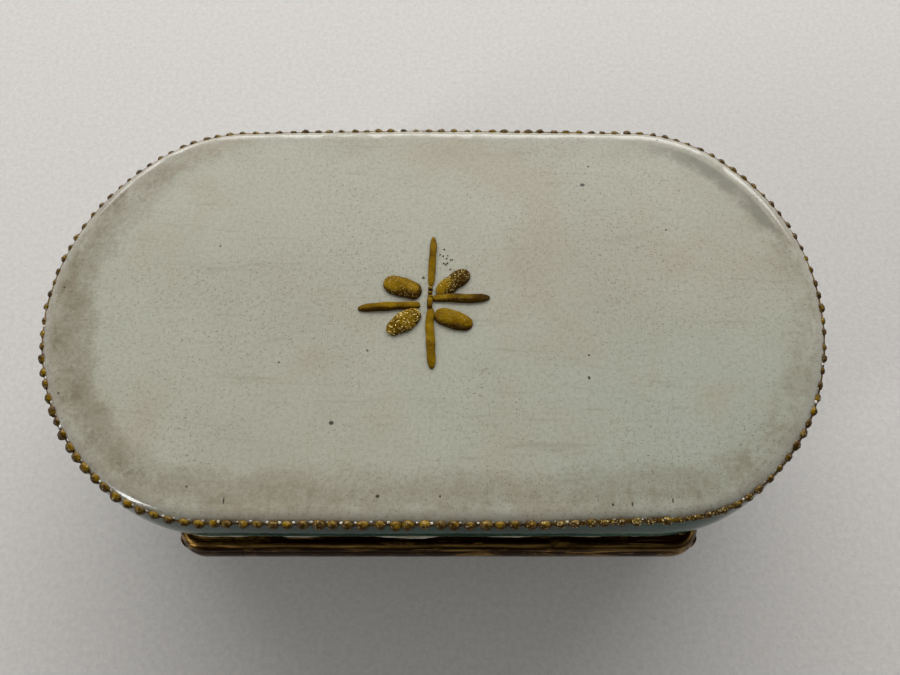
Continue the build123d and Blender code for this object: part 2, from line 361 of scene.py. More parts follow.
class Surface(Tree):
    """A Principled material whose colour is built up in stains. Scales are per mm."""

    def __init__(self, name, **inputs):
        self.material = bpy.data.materials.new(name)
        self.material.use_nodes = True
        super().__init__(self.material.node_tree)
        self.shader = self.wire(self.nodes["Principled BSDF"], inputs)
        spot = self.add("TexCoord").outputs["Object"]
        scale = [("operation", "SCALE")]
        self.place = self.add("VectorMath", scale, Vector=spot, Scale=1 / MM).outputs[0]

    def stretched(self, stretch, turn):
        """The place in its own units on each axis, after a turn in degrees."""
        if stretch is None:
            return self.place
        turned = (0, 0, math.radians(turn))
        return self.add("Mapping", Scale=stretch, Rotation=turned, Vector=self.place).outputs[0]

    def noise(self, scale, detail=3.0, rough=0.5, stretch=None, turn=0.0, warp=0.0):
        inputs = {"Scale": scale, "Detail": detail, "Roughness": rough, "Distortion": warp}
        place = self.stretched(stretch, turn)
        return self.add("TexNoise", Vector=place, **inputs).outputs["Fac"]

    def cells(self, scale, stretch=None, turn=0.0, flat=False):
        """Voronoi cells: distance to the nearest centre, and a random value for each cell."""
        axes = [("voronoi_dimensions", "2D" if flat else "3D")]
        texture = self.add("TexVoronoi", axes, Scale=scale, Vector=self.stretched(stretch, turn))
        split = self.add("SeparateColor", Color=texture.outputs["Color"])
        return texture.outputs["Distance"], split.outputs[0]

    def attribute(self, name):
        return self.add("Attribute", [("attribute_name", name)]).outputs["Fac"]

    def axes(self):
        return self.add("SeparateXYZ", Vector=self.place).outputs

    def reach(self, x, y, stretch):
        """Distance in plan from a point, with each axis counted its own number of times."""
        start = (-x * stretch[0], -y * stretch[1], 0)
        away = self.add("Mapping", Location=start, Scale=(*stretch, 0), Vector=self.place).outputs[0]
        return self.add("VectorMath", [("operation", "LENGTH")], Vector=away).outputs["Value"]

    def ragged(self, value, scale, swing):
        """The value with smooth noise of up to the swing either way."""
        return self.plus(value, self.ramp(self.noise(scale, detail=4), 0.3, 0.7, -swing, swing))

    def specks(self, scale, size, share, stretch=None, turn=0.0, flat=False):
        """Mask of small round or stretched specks in a share of the cells."""
        distance, chance = self.cells(scale, stretch, turn, flat)
        chosen = self.ramp(chance, 1 - share, 1 - share + 0.02)
        return self.times(self.ramp(distance, size, 0.6 * size), chosen)

    def mix(self, mask, first, second):
        node = self.add("Mix", [("data_type", "RGBA")])
        for index, value in ((0, mask), (6, first), (7, second)):
            self.put(value, node.inputs[index])
        return node.outputs[2]

    def ground(self, value, low, high, first, second):
        """Start the colour: one display colour where value is low, the other where it is high."""
        self.colour = self.mix(self.ramp(value, low, high), srgb(*first), srgb(*second))

    def stain(self, mask, share, *shade):
        """Lay a display colour over the masked places, covering them by the share."""
        self.colour = self.mix(self.times(mask, share), self.colour, srgb(*shade))

    def finish(self, height, depth, **inputs):
        """Join the colour, the relief, whose depth is in millimetres, and more inputs to the shader."""
        bump = self.add("Bump", Strength=1.0, Distance=depth * MM, Height=height)
        self.wire(self.shader, {"Base Color": self.colour, "Normal": bump.outputs[0], **inputs})
        return self.material


# pinholes and short dark marks in the face: centre, and how each axis is counted in its distance
FACE_MARKS = (
    (5.1, 19.0, (1.5, 1.8)),
    (9.8, 12.1, (1.2, 1.4)),
    (-15.4, 7.6, (2.2, 1.6)),
    (-16.1, -14.1, (1.1, 1.5)),
    (1.1, -3.1, (1.8, 1.8)),
    (19.4, 19.4, (3.6, 0.9)),
    (-18.6, 19.7, (3.4, 1.3)),
    (-22.4, 19.4, (3.8, 1.2)),
)
# fine specks, dashes and hairs in the face: strength, scale, size, share, stretch and turn
FACE_SPECKS = (
    (0.5, 3.1, 0.20, 0.22),
    (0.65, 1.5, 0.11, 0.22),
    (0.5, 1.7, 0.17, 0.18, (0.6, 1.8, 1), 24),
    (0.45, 1.7, 0.15, 0.15, (1.7, 0.5, 1), 58),
)


def white_glaze():
    """Worn off-white glaze: sandy grime inside the rim, dense dark pits and short scratches."""
    s = Surface("white_glaze", Specular_IOR_Level=0.5, Coat_Roughness=0.03)
    rim = s.attribute("rim")
    x, y = s.axes()[:2]
    s.ground(s.noise(0.05, detail=5), 0.35, 0.65, (173, 173, 156), (167, 164, 147))
    s.stain(s.times(s.ramp(x, 8, -26), s.ramp(y, -6, 14)), 0.45, 154, 166, 153)
    sand = s.ramp(s.noise(0.07, detail=5, rough=0.6, warp=0.5), 0.47, 0.66)
    s.stain(sand, 0.45, 165, 152, 131)
    mottle = s.noise(2.4, detail=6, rough=0.85)
    s.stain(s.ramp(mottle, 0.62, 0.4), 0.15, 198, 198, 184)
    s.stain(s.ramp(mottle, 0.42, 0.66), 0.33, 134, 129, 108)
    # grime at both ends and along the hinge side
    corner = s.math("MAXIMUM", s.ramp(x, 16, 35, 0.0, 0.4), s.ramp(y, 8, 17, 0.0, 0.3))
    ends = s.plus(s.ramp(s.math("ABSOLUTE", x), 16, 35, 0.2, 0.45), corner)
    grime = s.ramp(s.noise(0.35, detail=8, rough=0.75, warp=0.6), 0.3, 0.75)
    s.stain(s.times(s.ramp(s.ragged(rim, 0.2, 1.0), -5.4, -2.4), grime), ends, 128, 114, 90)
    wide_edge = s.ragged(rim, 0.3, 0.8)
    band = s.times(s.ramp(wide_edge, -5.8, -4.4), s.ramp(rim, -1.3, -2.3))
    band = s.times(band, s.plus(s.ramp(x, 24, 33, 0.0, 0.45), s.ramp(y, 13, 18, 0.0, 0.25)))
    band = s.times(band, s.ramp(y, -14, -4, 0.3, 1.0))
    s.stain(band, s.ramp(mottle, 0.3, 0.6, 0.45, 1.0), 118, 108, 88)
    # darker grey line just inside the shoulder at one front corner
    shoulder_line = s.times(s.ramp(wide_edge, -3.4, -1.9), s.ramp(rim, -1.5, -1.9))
    line_corner = s.times(s.ramp(x, -21, -29), s.ramp(y, -5, -10))
    s.stain(s.times(shoulder_line, line_corner), 0.7, 110, 110, 96)
    smudge = s.times(s.ramp(rim, -4.8, -2.4), s.ramp(s.noise(0.9, detail=8, rough=0.85), 0.48, 0.68))
    s.stain(s.times(smudge, ends), 0.8, 98, 86, 66)
    s.stain(s.ramp(rim, -1.6, -1.0), 0.3, 168, 162, 148)
    smear = s.noise(0.6, detail=5, rough=0.6, stretch=(0.2, 1.6, 1), turn=18, warp=1.2)
    s.stain(s.ramp(smear, 0.56, 0.74), 0.25, 126, 119, 98)
    crowd = s.ramp(s.noise(0.09, detail=4), 0.35, 0.6, 0.35, 1.0)
    for strength, *speck in FACE_SPECKS:
        s.stain(s.times(s.specks(*speck, flat=True), crowd), strength, 92, 85, 66)
    coarse = s.specks(0.13, 0.018, 0.3, flat=True)
    s.stain(coarse, 0.8, 50, 42, 28)
    for mark_x, mark_y, stretch in FACE_MARKS:
        s.stain(s.ramp(s.reach(mark_x, mark_y, stretch), 0.36, 0.2), 0.9, 38, 32, 20)
    gilding = s.times(s.ramp(rim, -0.55, -0.2), s.ramp(s.noise(0.9), 0.4, 0.55))
    s.stain(gilding, 0.75, 96, 72, 36)
    # the shoulder keeps its gloss and the flat is rubbed matt
    matt = s.ramp(s.noise(0.25, detail=5), 0.3, 0.7, 0.34, 0.48)
    glossy = s.ramp(s.plus(s.ragged(rim, 0.35, 0.4), s.ramp(y, -8, -18, 0.0, -0.45)), -1.7, -1.1)
    roughness = s.plus(0.05, s.times(matt, s.math("SUBTRACT", 1.0, glossy)))
    height = s.math("SUBTRACT", s.times(mottle, 0.4), coarse)
    return s.finish(height, 0.03, Roughness=roughness, Coat_Weight=s.times(glossy, 0.7))


def plain_white_glaze():
    """Clean glossy glaze inside the shells, with a few pinholes."""
    s = Surface("inside_glaze", Specular_IOR_Level=0.5, Coat_Weight=0.3, Coat_Roughness=0.05)
    s.ground(s.noise(0.06, detail=4), 0.35, 0.7, (222, 220, 208), (208, 206, 190))
    s.stain(s.specks(0.2, 0.03, 0.35), 0.7, 96, 84, 62)
    s.stain(s.ramp(s.noise(2.2, detail=5, rough=0.7), 0.55, 0.85), 0.2, 170, 162, 140)
    roughness = s.ramp(s.noise(0.3, detail=4), 0.3, 0.7, 0.12, 0.24)
    return s.finish(s.noise(0.35, detail=2), 0.05, Roughness=roughness)


def teal_glaze():
    """Turquoise ground colour, thin and grey under the beads and at the lip. The lip's pale bare edge is
    widened over its shaded curve, and the wall just above it is painted lighter: painted light against the
    shade there.
    """
    s = Surface("teal_glaze", Specular_IOR_Level=0.3)
    rim = s.attribute("rim")
    lip = s.attribute("lip")
    s.ground(s.noise(0.13, detail=4), 0.35, 0.65, (31, 70, 60), (22, 54, 48))
    streak = s.noise(0.5, detail=4, rough=0.6, stretch=(1, 1, 0.25))
    s.stain(s.ramp(streak, 0.45, 0.8), 0.45, 52, 82, 66)
    dull = s.times(s.ramp(s.axes()[0], 14, 34), s.ramp(s.noise(0.3, detail=4), 0.35, 0.6, 0.5, 1.0))
    s.stain(dull, 0.6, 82, 82, 62)
    s.stain(s.ramp(s.ragged(rim, 0.7, 0.15), 0.26, 0.05), 1.0, 66, 60, 40)
    # painted light: the lower wall near the lip lightened towards pale teal against the shade there
    s.stain(s.times(s.ramp(lip, 2.8, 0.8), s.ramp(rim, 0.7, 1.0)), 0.75, 98, 130, 114)
    # pale bare edge at the lip, widened over the lip's shaded curve as painted light
    s.stain(s.ramp(s.ragged(lip, 1.2, 0.2), 0.8, 0.3), 1.0, 150, 146, 126)
    s.stain(s.ramp(s.noise(0.9, detail=6, rough=0.7), 0.54, 0.72), 0.5, 44, 46, 34)
    pits = s.specks(0.5, 0.06, 0.25)
    s.stain(pits, 0.7, 36, 42, 34)
    roughness = s.ramp(s.noise(0.4, detail=4), 0.3, 0.75, 0.06, 0.2)
    return s.finish(s.math("SUBTRACT", s.noise(0.6), s.times(pits, 0.6)), 0.05, Roughness=roughness)


def gilt(name, grain, gloss=0.0):
    """Gold over raised paste: olive ochre, brown where dark, with bright grains where granular. The dark
    attribute holds tarnish and painted shade; the grains' pale colour is partly a painted glint.
    """
    s = Surface(name, Specular_IOR_Level=0.12, Coat_Weight=gloss, Coat_Roughness=0.06)
    s.wire(s.shader, {"Specular Tint": srgb(255, 215, 120)})
    s.ground(s.noise(0.6, detail=4), 0.35, 0.65, (132, 103, 14), (104, 77, 8))
    s.stain(s.ramp(s.noise(1.5, detail=5, rough=0.7), 0.5, 0.7), 0.55, 70, 46, 6)
    # the dark attribute: tarnish, with painted shade on the beads, the rim line and the motif
    s.stain(s.ramp(s.ragged(s.attribute("dark"), 0.6, 0.15), 0.3, 0.85), 0.9, 50, 31, 6)
    s.stain(s.specks(2.4, 0.13, 0.16), 0.7, 46, 32, 12)
    # pale grains of gold where granular; their near-white colour is partly a painted glint
    distance, chance = s.cells(grain)
    grains = s.times(s.ramp(chance, 0.3, 0.9), s.ramp(distance, 0.6, 0.2))
    patch = s.ramp(s.noise(0.9), 0.35, 0.6, 0.4, 1.0)
    bright = s.times(grains, s.times(s.attribute("granular"), patch))
    s.stain(bright, 0.95, 236, 212, 138)
    roughness = s.math("SUBTRACT", 0.55, s.times(bright, 0.33))
    return s.finish(distance, 0.03, Roughness=roughness, Metallic=s.times(bright, 0.4))


def glint_drop_glaze():
    """Bright, wet-looking nubs of glaze beside the beads; their near-white colour is a painted glint."""
    s = Surface("glint_drop_glaze", Roughness=0.03, Specular_IOR_Level=0.6, Coat_Weight=1.0, Coat_Roughness=0.02)
    # near-white colour: painted glints
    s.ground(s.noise(0.7, detail=4), 0.4, 0.6, (232, 230, 222), (186, 170, 132))
    return s.finish(s.noise(2.0), 0.03)


def brass(name, bright, dark, share, low_rough, high_rough):
    """Worn brass: dark tarnish over a share of it, long rubbed streaks, spots and small dents, and painted
    highlight lines along any ridge a piece marks.
    """
    s = Surface(name, Metallic=1.0)
    tarnish = s.noise(0.22, detail=6, rough=0.65, warp=0.5, stretch=(0.7, 1.6, 1.6))
    s.ground(tarnish, 0.62 - 0.3 * share, 0.8 - 0.3 * share, bright, dark)
    rubbed = s.noise(1.6, detail=6, rough=0.65, stretch=(0.06, 1.8, 1.8), warp=0.7)
    s.stain(s.ramp(rubbed, 0.42, 0.58), share, *dark)
    s.stain(s.ramp(rubbed, 0.59, 0.64), 0.8, *bright)
    broken = s.ramp(s.noise(1.1, detail=4, stretch=(0.3, 1, 1)), 0.3, 0.55, 0.35, 1.0)
    # painted highlight lines along the ridges a piece marks, broken along their length
    s.stain(s.times(s.attribute("ridge"), broken), 0.9, 196, 158, 90)
    s.stain(s.specks(0.7, 0.16, 0.3), 0.5, 40, 26, 12)
    roughness = s.plus(s.ramp(tarnish, 0.35, 0.7, low_rough, high_rough), s.times(rubbed, 0.12))
    height = s.plus(rubbed, s.times(s.noise(0.5, detail=2), 2.0))
    return s.finish(height, 0.014, Roughness=roughness)


def plaster():
    """Off-white bedding squeezed out between porcelain and brass."""
    s = Surface("bedding_plaster", Roughness=0.5, Specular_IOR_Level=0.45)
    s.ground(s.noise(0.8, detail=5, rough=0.6), 0.4, 0.68, (200, 197, 182), (158, 150, 128))
    s.stain(s.ramp(s.noise(0.3, detail=5), 0.55, 0.7), 0.5, 110, 96, 66)
    return s.finish(s.noise(3.0, detail=5, rough=0.7), 0.05)


def paper():
    """Pale matt surface that the box stands on."""
    s = Surface("pale_paper", Roughness=0.85, Specular_IOR_Level=0.2)
    fibre = s.noise(1.4, detail=6, rough=0.8)
    s.ground(fibre, 0.25, 0.75, (221, 218, 214), (202, 199, 196))
    s.stain(s.specks(0.06, 0.012, 0.3, stretch=(1.0, 0.5, 1), turn=40, flat=True), 0.5, 110, 108, 106)
    return s.finish(fibre, 0.06)


WHITE_GLAZE = white_glaze()
INSIDE_GLAZE = plain_white_glaze()
TEAL_GLAZE = teal_glaze()
GILT_BEAD = gilt("gilt_beads", 5.0, gloss=0.35)
GILT_LINE = gilt("gilt_line", 6.0, gloss=0.5)
GILT_MOTIF = gilt("gilt_motif", 6.0)
GLINT_DROP_GLAZE = glint_drop_glaze()
BRASS = brass("rim_brass", (196, 160, 92), (120, 86, 42), 0.4, 0.14, 0.34)
HINGE_BRASS = brass("hinge_brass", (164, 128, 68), (44, 28, 12), 0.9, 0.22, 0.4)
PLASTER = plaster()


# ------------ porcelain shells

def shell_runs(face_z, side, inside):
    """Profile of a shell from its outer face round the lip to the inside, as (offset, height)."""
    depth = abs(face_z - PARTING_Z)
    lip = depth - LIP_HEIGHT
    wall_end = depth - WALL_END
    flare_end = EDGE_DROP + FLARE_HEIGHT
    knee = INSIDE_ROUND * (1 - math.sqrt(0.5))
    shares = [k / 16 for k in range(17)]
    shoulder = [(FLAT_EDGE * (1 - share), EDGE_DROP * share ** 3.6) for share in shares]
    flare = arc_points(
        (0, EDGE_DROP),
        (0.68 * FLARE, EDGE_DROP + 0.42 * FLARE_HEIGHT),
        (FLARE, flare_end - LIP_ROUND),
        18,
    )
    wall = flare
    if lip > flare_end:
        wall = joined(flare, straight(flare[-1], (FLARE, lip - LIP_ROUND), 24))
    lip_curve = arc_points(
        (FLARE, lip - LIP_ROUND),
        (FLARE - 0.09, lip - 0.09),
        (FLARE - LIP_ROUND, lip),
        5,
    )
    under = joined(
        straight(lip_curve[-1], (REBATE, lip), 4),
        straight((REBATE, lip), (REBATE, wall_end), 3),
        straight((REBATE, wall_end), (inside, wall_end), 3),
    )
    inner = joined(
        straight((inside, wall_end), (inside, FACE_THICKNESS + INSIDE_ROUND), 8),
        arc_points(
            (inside, FACE_THICKNESS + INSIDE_ROUND),
            (inside - knee, FACE_THICKNESS + knee),
            (inside - INSIDE_ROUND, FACE_THICKNESS),
            7,
        ),
    )
    flat = straight((PLATE_EDGE, 0), (FLAT_EDGE, 0), 8)
    outer = joined(flat, shoulder)
    runs = {"face": outer, "wall": joined(wall, lip_curve), "inside": joined(under, inner)}
    return {key: [(offset, face_z - side * below) for offset, below in run] for key, run in runs.items()}


def face_relief(x, y, seed):
    """Slight unevenness of the flat face, in millimetres."""
    broad = wave(x / 14, y / 11, 0.0, seed)
    small = wave(x / 4.5, y / 4.5, 0.0, seed + 1)
    return 0.045 * broad + 0.014 * small


def porcelain(name, node, body, face_z, side, inside, seed):
    """High-resolution shell: worn flat face, glossy shoulder, flared wall, lip and hollow."""
    runs = shell_runs(face_z, side, inside)
    rings = []
    rims = []
    kinds = []

    def add(ring, kind):
        rings.append(ring)
        rims.append(np.hypot(*(ring[:, :2] - LINE_POINTS - LINE_NORMALS * EDGE_SWAY[:, None]).T))
        kinds.append(kind)

    for ring in fill_rings(PLATE_EDGE, face_z, count=26)[:-1]:
        add(ring, FACE)
    lift = 0.06 * wave_round(7, seed + 5)
    for offset, height in runs["face"]:
        share = np.clip((offset - FLAT_EDGE) / -FLAT_EDGE, 0, 1)
        add(ring_at(offset, height + share * lift, share * EDGE_SWAY), FACE)
    for offset, height in runs["wall"][1:]:
        ripple = np.array([wave(x / 6, y / 6, height / 5, seed + 7) for x, y in LINE_POINTS])
        fade = math.exp(-abs(height - runs["face"][-1][1]) / 1.5)
        tuck = np.minimum(0.05 * ripple - 0.03, 0)
        add(ring_at(offset, height + fade * lift, fade * EDGE_SWAY + (1 - fade) * tuck), WALL)
    for offset, height in runs["inside"][1:]:
        add(ring_at(offset, height), INSIDE)
    last_offset, last_height = runs["inside"][-1]
    for ring in fill_rings(last_offset, last_height, count=18)[-2::-1]:
        add(ring, INSIDE)
    signed = [rim if kind == WALL else -rim for rim, kind in zip(rims, kinds)]
    vertices = np.concatenate(rings)
    for index in range(kinds.count(FACE) * AROUND):
        x, y, z = vertices[index]
        fade = clamp((0.2 - signed[index // AROUND][index % AROUND]) / 2.0)
        vertices[index, 2] = z + fade * (face_relief(x, y, seed) - 0.05) * side
    lip_z = PARTING_Z + side * LIP_HEIGHT
    piece = make_piece(
        name,
        vertices,
        grid_faces(len(rings), AROUND),
        [WHITE_GLAZE, TEAL_GLAZE, INSIDE_GLAZE],
        np.repeat(kinds[1:], AROUND),
        {"rim": np.concatenate(signed), "lip": np.abs(vertices[:, 2] - lip_z)},
    )
    settle(clean(piece, 50), body, "porcelain", node)


# ------------ beads and motif

def unit_ball(subdivisions):
    bm = bmesh.new()
    bmesh.ops.create_icosphere(bm, subdivisions=subdivisions, radius=1.0)
    vertices = np.array([v.co[:] for v in bm.verts])
    faces = [tuple(v.index for v in f.verts) for f in bm.faces]
    bm.free()
    return vertices, faces


def side_of_box(point, normal):
    """How far a place lies towards the hinge side, and into that side's worn granular stretch."""
    near = clamp(1.6 * normal[1] + 0.1)
    starts = clamp((-7 - point[0]) / 10)
    ends = clamp((-25 - point[0]) / 6)
    return near, near * starts * (1 - 0.6 * ends)


def merge(parts):
    """One mesh and its attributes from parts of (vertices, faces, granular value, dark values)."""
    vertices = []
    faces = []
    granular = []
    dark = []
    for part_vertices, part_faces, part_granular, part_dark in parts:
        start = len(vertices)
        vertices += list(part_vertices)
        faces += [tuple(corner + start for corner in face) for face in part_faces]
        granular += [part_granular] * len(part_vertices)
        dark += list(part_dark)
    return vertices, faces, {"granular": granular, "dark": dark}


def balls_along(places, seed):
    """Uneven balls, each given as (distance, inward, height, radii along, outwards and up)."""
    ball, ball_faces = unit_ball(3)
    parts = []
    for index, (distance, inward, height, radii) in enumerate(places):
        point, normal = bead_line(distance)
        near, worn = side_of_box(point, normal)
        inward -= hand_sway(point, normal)
        lumps = np.array([
            wave(*(p * 1.3), seed + index) + 0.8 * wave(*(p * 2.8), seed + index + 900) for p in ball
        ])
        shape = ball * radii * (1 + 0.13 * lumps[:, None])
        nx, ny = normal
        flat = shape[:, :1] * np.array([[-ny, nx]]) + shape[:, 1:2] * np.array([[nx, ny]])
        flat += np.array([[point[0] - nx * inward, point[1] - ny * inward]])
        side = math.copysign(1, height - PARTING_Z)
        # dark value: painted shade on the half towards the parting line and, along the hinge side, on the
        # outward half; wear and lumps add tone
        under = 0.95 - 0.35 * ball[:, 2] * side + 0.6 * ball[:, 1] * near
        dark = np.clip(under + 0.05 * (1 - near) + 0.3 * worn + 0.6 * lumps, 0, 1)
        ball_vertices = np.hstack([flat, shape[:, 2:] + height])
        parts.append((ball_vertices, ball_faces, 0.25 + 0.75 * worn, dark))
    return merge(parts)


def rim_line(name, body, edge_z, side, seed):
    """Brown gilding run along the edge under the beads, thick and crusted in the worn stretch."""
    count, columns = 1800, 12
    vertices = []
    granular = []
    dark = []
    for k in range(count):
        point, normal = bead_line(k / count * BEAD_LINE_LENGTH)
        near, worn = side_of_box(point, normal)
        x, y = point
        crust = 0.5 + 0.5 * wave(x / 2.2, y / 2.2, 0, seed) + 0.35 * wave(x / 0.5, y / 0.5, 0, seed + 1)
        width = 0.08 + 0.02 * near + 0.26 * worn + (0.05 + 0.10 * worn) * crust
        rise = 0.07 + 0.02 * near + 0.12 * worn + (0.04 + 0.05 * worn) * crust
        sway = hand_sway(point, normal) - 0.04 - 0.16 * worn
        for column in range(columns):
            angle = 2 * math.pi * column / columns
            c, s = math.cos(angle), math.sin(angle)
            grit = 1 + 0.3 * worn * wave(x / 0.22, y / 0.22, angle, seed + 2)
            offset = sway + width * c * grit
            up = side * rise * s * grit
            vertices.append((x + normal[0] * offset, y + normal[1] * offset, edge_z + up))
            granular.append(0.9 * worn)
            # dark value: painted shade along the hinge side and on the half towards the parting line, with
            # rust and wear as tone
            rust = (0.2 + 0.6 * worn) * wave(x / 0.6, y / 0.6, angle, seed + 3)
            dark.append(clamp(0.6 + 0.4 * near + 0.1 * worn + rust - 0.2 * s))
    attributes = {"granular": granular, "dark": dark}
    faces = grid_faces(count, columns, wrap_rows=True)
    piece = make_piece(name, vertices, faces, [GILT_LINE], None, attributes)
    settle(clean(piece), body, "gilt_paste")


def bead_border(name, node, body, beads_low, beads_high, seed):
    """Hand-set gilt beads, large along the hinge side, with near-white glaze drops beside them that stand
    as painted glints.
    """
    dice = random.Random(seed)
    count = round(BEAD_LINE_LENGTH / BEAD_PITCH)
    pitch = BEAD_LINE_LENGTH / count
    centre_z = (beads_low.z + beads_high.z) / 2
    side = 1 if centre_z > PARTING_Z else -1
    beads = []
    drops = []
    for index in range(count):
        distance = (index + 0.5 + dice.uniform(-0.1, 0.1)) * pitch
        (x, y), normal = bead_line(distance)
        near, worn = side_of_box((x, y), normal)
        straight_side = max(abs(normal[1]) * 3 - 2, 0)
        large = 0.78 + 0.28 * near * (1 - 0.6 * worn)
        large *= 1 + 0.2 * wave(x / 6, y / 6, 0, seed)
        radii = BEAD_RADIUS * min(large + dice.uniform(-0.1, 0.08), 1.1) * np.array([
            dice.uniform(0.94, 1.12),
            dice.uniform(0.78, 0.92),
            dice.uniform(0.80, 0.94),
        ])
        inward = 0.12 - 0.12 * near * straight_side + dice.uniform(-0.04, 0.05)
        beads.append((distance, inward, centre_z + 0.16 * side, radii))
        # near-white drops of glaze beside the beads, as painted glints
        if dice.random() < 0.2 + 0.65 * near * (1 - worn):
            size = dice.uniform(0.09, 0.17)
            gap = (index + 1 + dice.uniform(-0.15, 0.15)) * pitch
            inward = dice.uniform(0.14, 0.34)
            drops.append((gap, inward, centre_z + 0.36 * side, size * np.array([1.2, 1, 1])))
    vertices, faces, attributes = balls_along(beads, seed)
    piece = make_piece(name, vertices, faces, [GILT_BEAD], None, attributes)
    settle(piece, body, "gilt_paste", node)
    vertices, faces = balls_along(drops, seed + 500)[:2]
    settle(make_piece(name + "_glaze", vertices, faces, [GLINT_DROP_GLAZE]), body, "porcelain")
    rim_line(name + "_line", body, centre_z + 0.18 * side, side, seed + 700)


# motif: start, end and width of each touch of paste, as they stand in the CAD nodes, then
# how granular it is and how far tarnish darkens it towards its end
STROKES = (
    ((0.30, -2.20), (0.12, -7.75), 0.72, 0.05, 0.30),
    ((0.42, 0.25), (0.22, 6.70), 0.92, 0.10, 0.25),
    ((1.40, -0.12), (7.75, 0.34), 0.92, 0.05, 0.40),
    ((0.15, -0.76), (-5.75, -0.82), 0.92, 0.15, 0.90),
    ((0.37, -0.95), (0.46, 0.40), 0.62, 0.05, 0.45),
    ((0.34, -2.10), (0.36, -1.62), 0.50, 0.30, 0.90),
    ((0.38, -1.54), (0.40, -1.18), 0.46, 0.30, 0.70),
    ((0.40, -1.12), (0.34, -0.80), 0.50, 0.40, 0.40),
)
PETALS = (
    ((5.20, -2.62), (1.30, -1.33), 2.15, 0.35, 0.40),
    ((-0.30, -1.24), (-3.58, -3.78), 1.95, 0.65, 0.90),
    ((4.60, 2.95), (1.45, 0.62), 2.05, 1.50, 0.00),
    ((-0.12, 0.80), (-3.92, 2.20), 1.95, 0.15, 0.15),
)
SINK = 0.12                  # the paste reaches this far below the uneven face


def paste_dome(start, end, width, granular, tarnish, height, blunt, taper, grain, seed):
    """Raised blob of paste. blunt over 2 squares its ends, taper thins the far end, grain roughens."""
    rows, columns = 46, 170
    start, end = Vector(start), Vector(end)
    along = (end - start).normalized()
    across = Vector((-along.y, along.x))
    middle = (start + end) / 2
    half = (end - start).length / 2
    grit = 0.012 + 0.06 * granular
    vertices = []
    dark = []
    for row in range(rows):
        share = row / (rows - 1)
        reach = math.sin(share * math.pi / 2)
        rise = math.cos(share * math.pi / 2)
        for column in range(columns):
            angle = 2 * math.pi * column / columns
            c, s = math.cos(angle), math.sin(angle)
            radius = (abs(c) ** blunt + abs(s) ** blunt) ** (-1 / blunt)
            u = half * reach * radius * c
            v = width / 2 * reach * radius * s
            bend = 0.06 * min(half, 2) * wave(u / 2.2, seed, 0, seed)
            wide = 1 + 0.22 * wave(u / 1.2, seed * 3, 0, seed) * (1 - abs(u / half)) ** 0.3
            wide -= taper * max(u / half - 0.65, 0) ** 2
            point = middle + along * u + across * (v * wide + bend)
            top = height * rise ** 0.7
            rough = grit * wave(point.x / grain, point.y / grain, top / grain, seed + 9) * min(1, 4 * rise)
            lump = 0.16 * height * wave(point.x / 0.9, point.y / 0.9, 0, seed + 2) * rise
            z = LID_HIGH.z + max(top + rough + lump, 0) if row < rows - 1 else LID_HIGH.z - SINK
            vertices.append((point.x, point.y, min(z, PETALS_HIGH.z)))
            # dark value: tarnish towards the touch's end, painted shade on its hinge-facing side, and
            # darker towards the foot of the dome
            shaded = max(v * across.y / (width / 2), 0)
            dark.append(tarnish * (0.7 + 0.5 * u / half) + 0.8 * shaded + 0.5 * share ** 4)
    faces = grid_faces(rows, columns)
    faces.append(tuple((rows - 1) * columns + k for k in range(columns)))
    return vertices, faces, granular, dark


def motif():
    """Four strokes that meet in broken bits, four petals, and crumbs of paste beside them."""
    top = STROKES_HIGH.z - LID_HIGH.z
    strokes = [
        paste_dome(*touch, top * min(1, touch[2] / 0.6), 4.0, 2.6, 0.3, 11 + k)
        for k, touch in enumerate(STROKES)
    ]
    top = PETALS_HIGH.z - LID_HIGH.z - 0.05
    petals = [paste_dome(*touch, top, 2.5, 0.0, 0.13, 31 + k) for k, touch in enumerate(PETALS)]
    dice = random.Random(4)
    for k in range(12):
        x, y = dice.gauss(-1.5, 0.45), dice.gauss(-5.1, 0.75)
        size = dice.uniform(0.07, 0.15)
        crumb = ((x, y), (x + size, y + dice.uniform(-1, 1) * size), size, 0.2, 1.2)
        petals.append(paste_dome(*crumb, 0.06, 2.2, 0.0, 0.1, 51 + k))
    for name, touches in (("motif_strokes", strokes), ("motif_petals", petals)):
        vertices, faces, attributes = merge(touches)
        piece = make_piece("raised_" + name, vertices, faces, [GILT_MOTIF], None, attributes)
        settle(clean(piece, 60), "lid", "gilt_paste", "lid_" + name)


# ------------ bedding

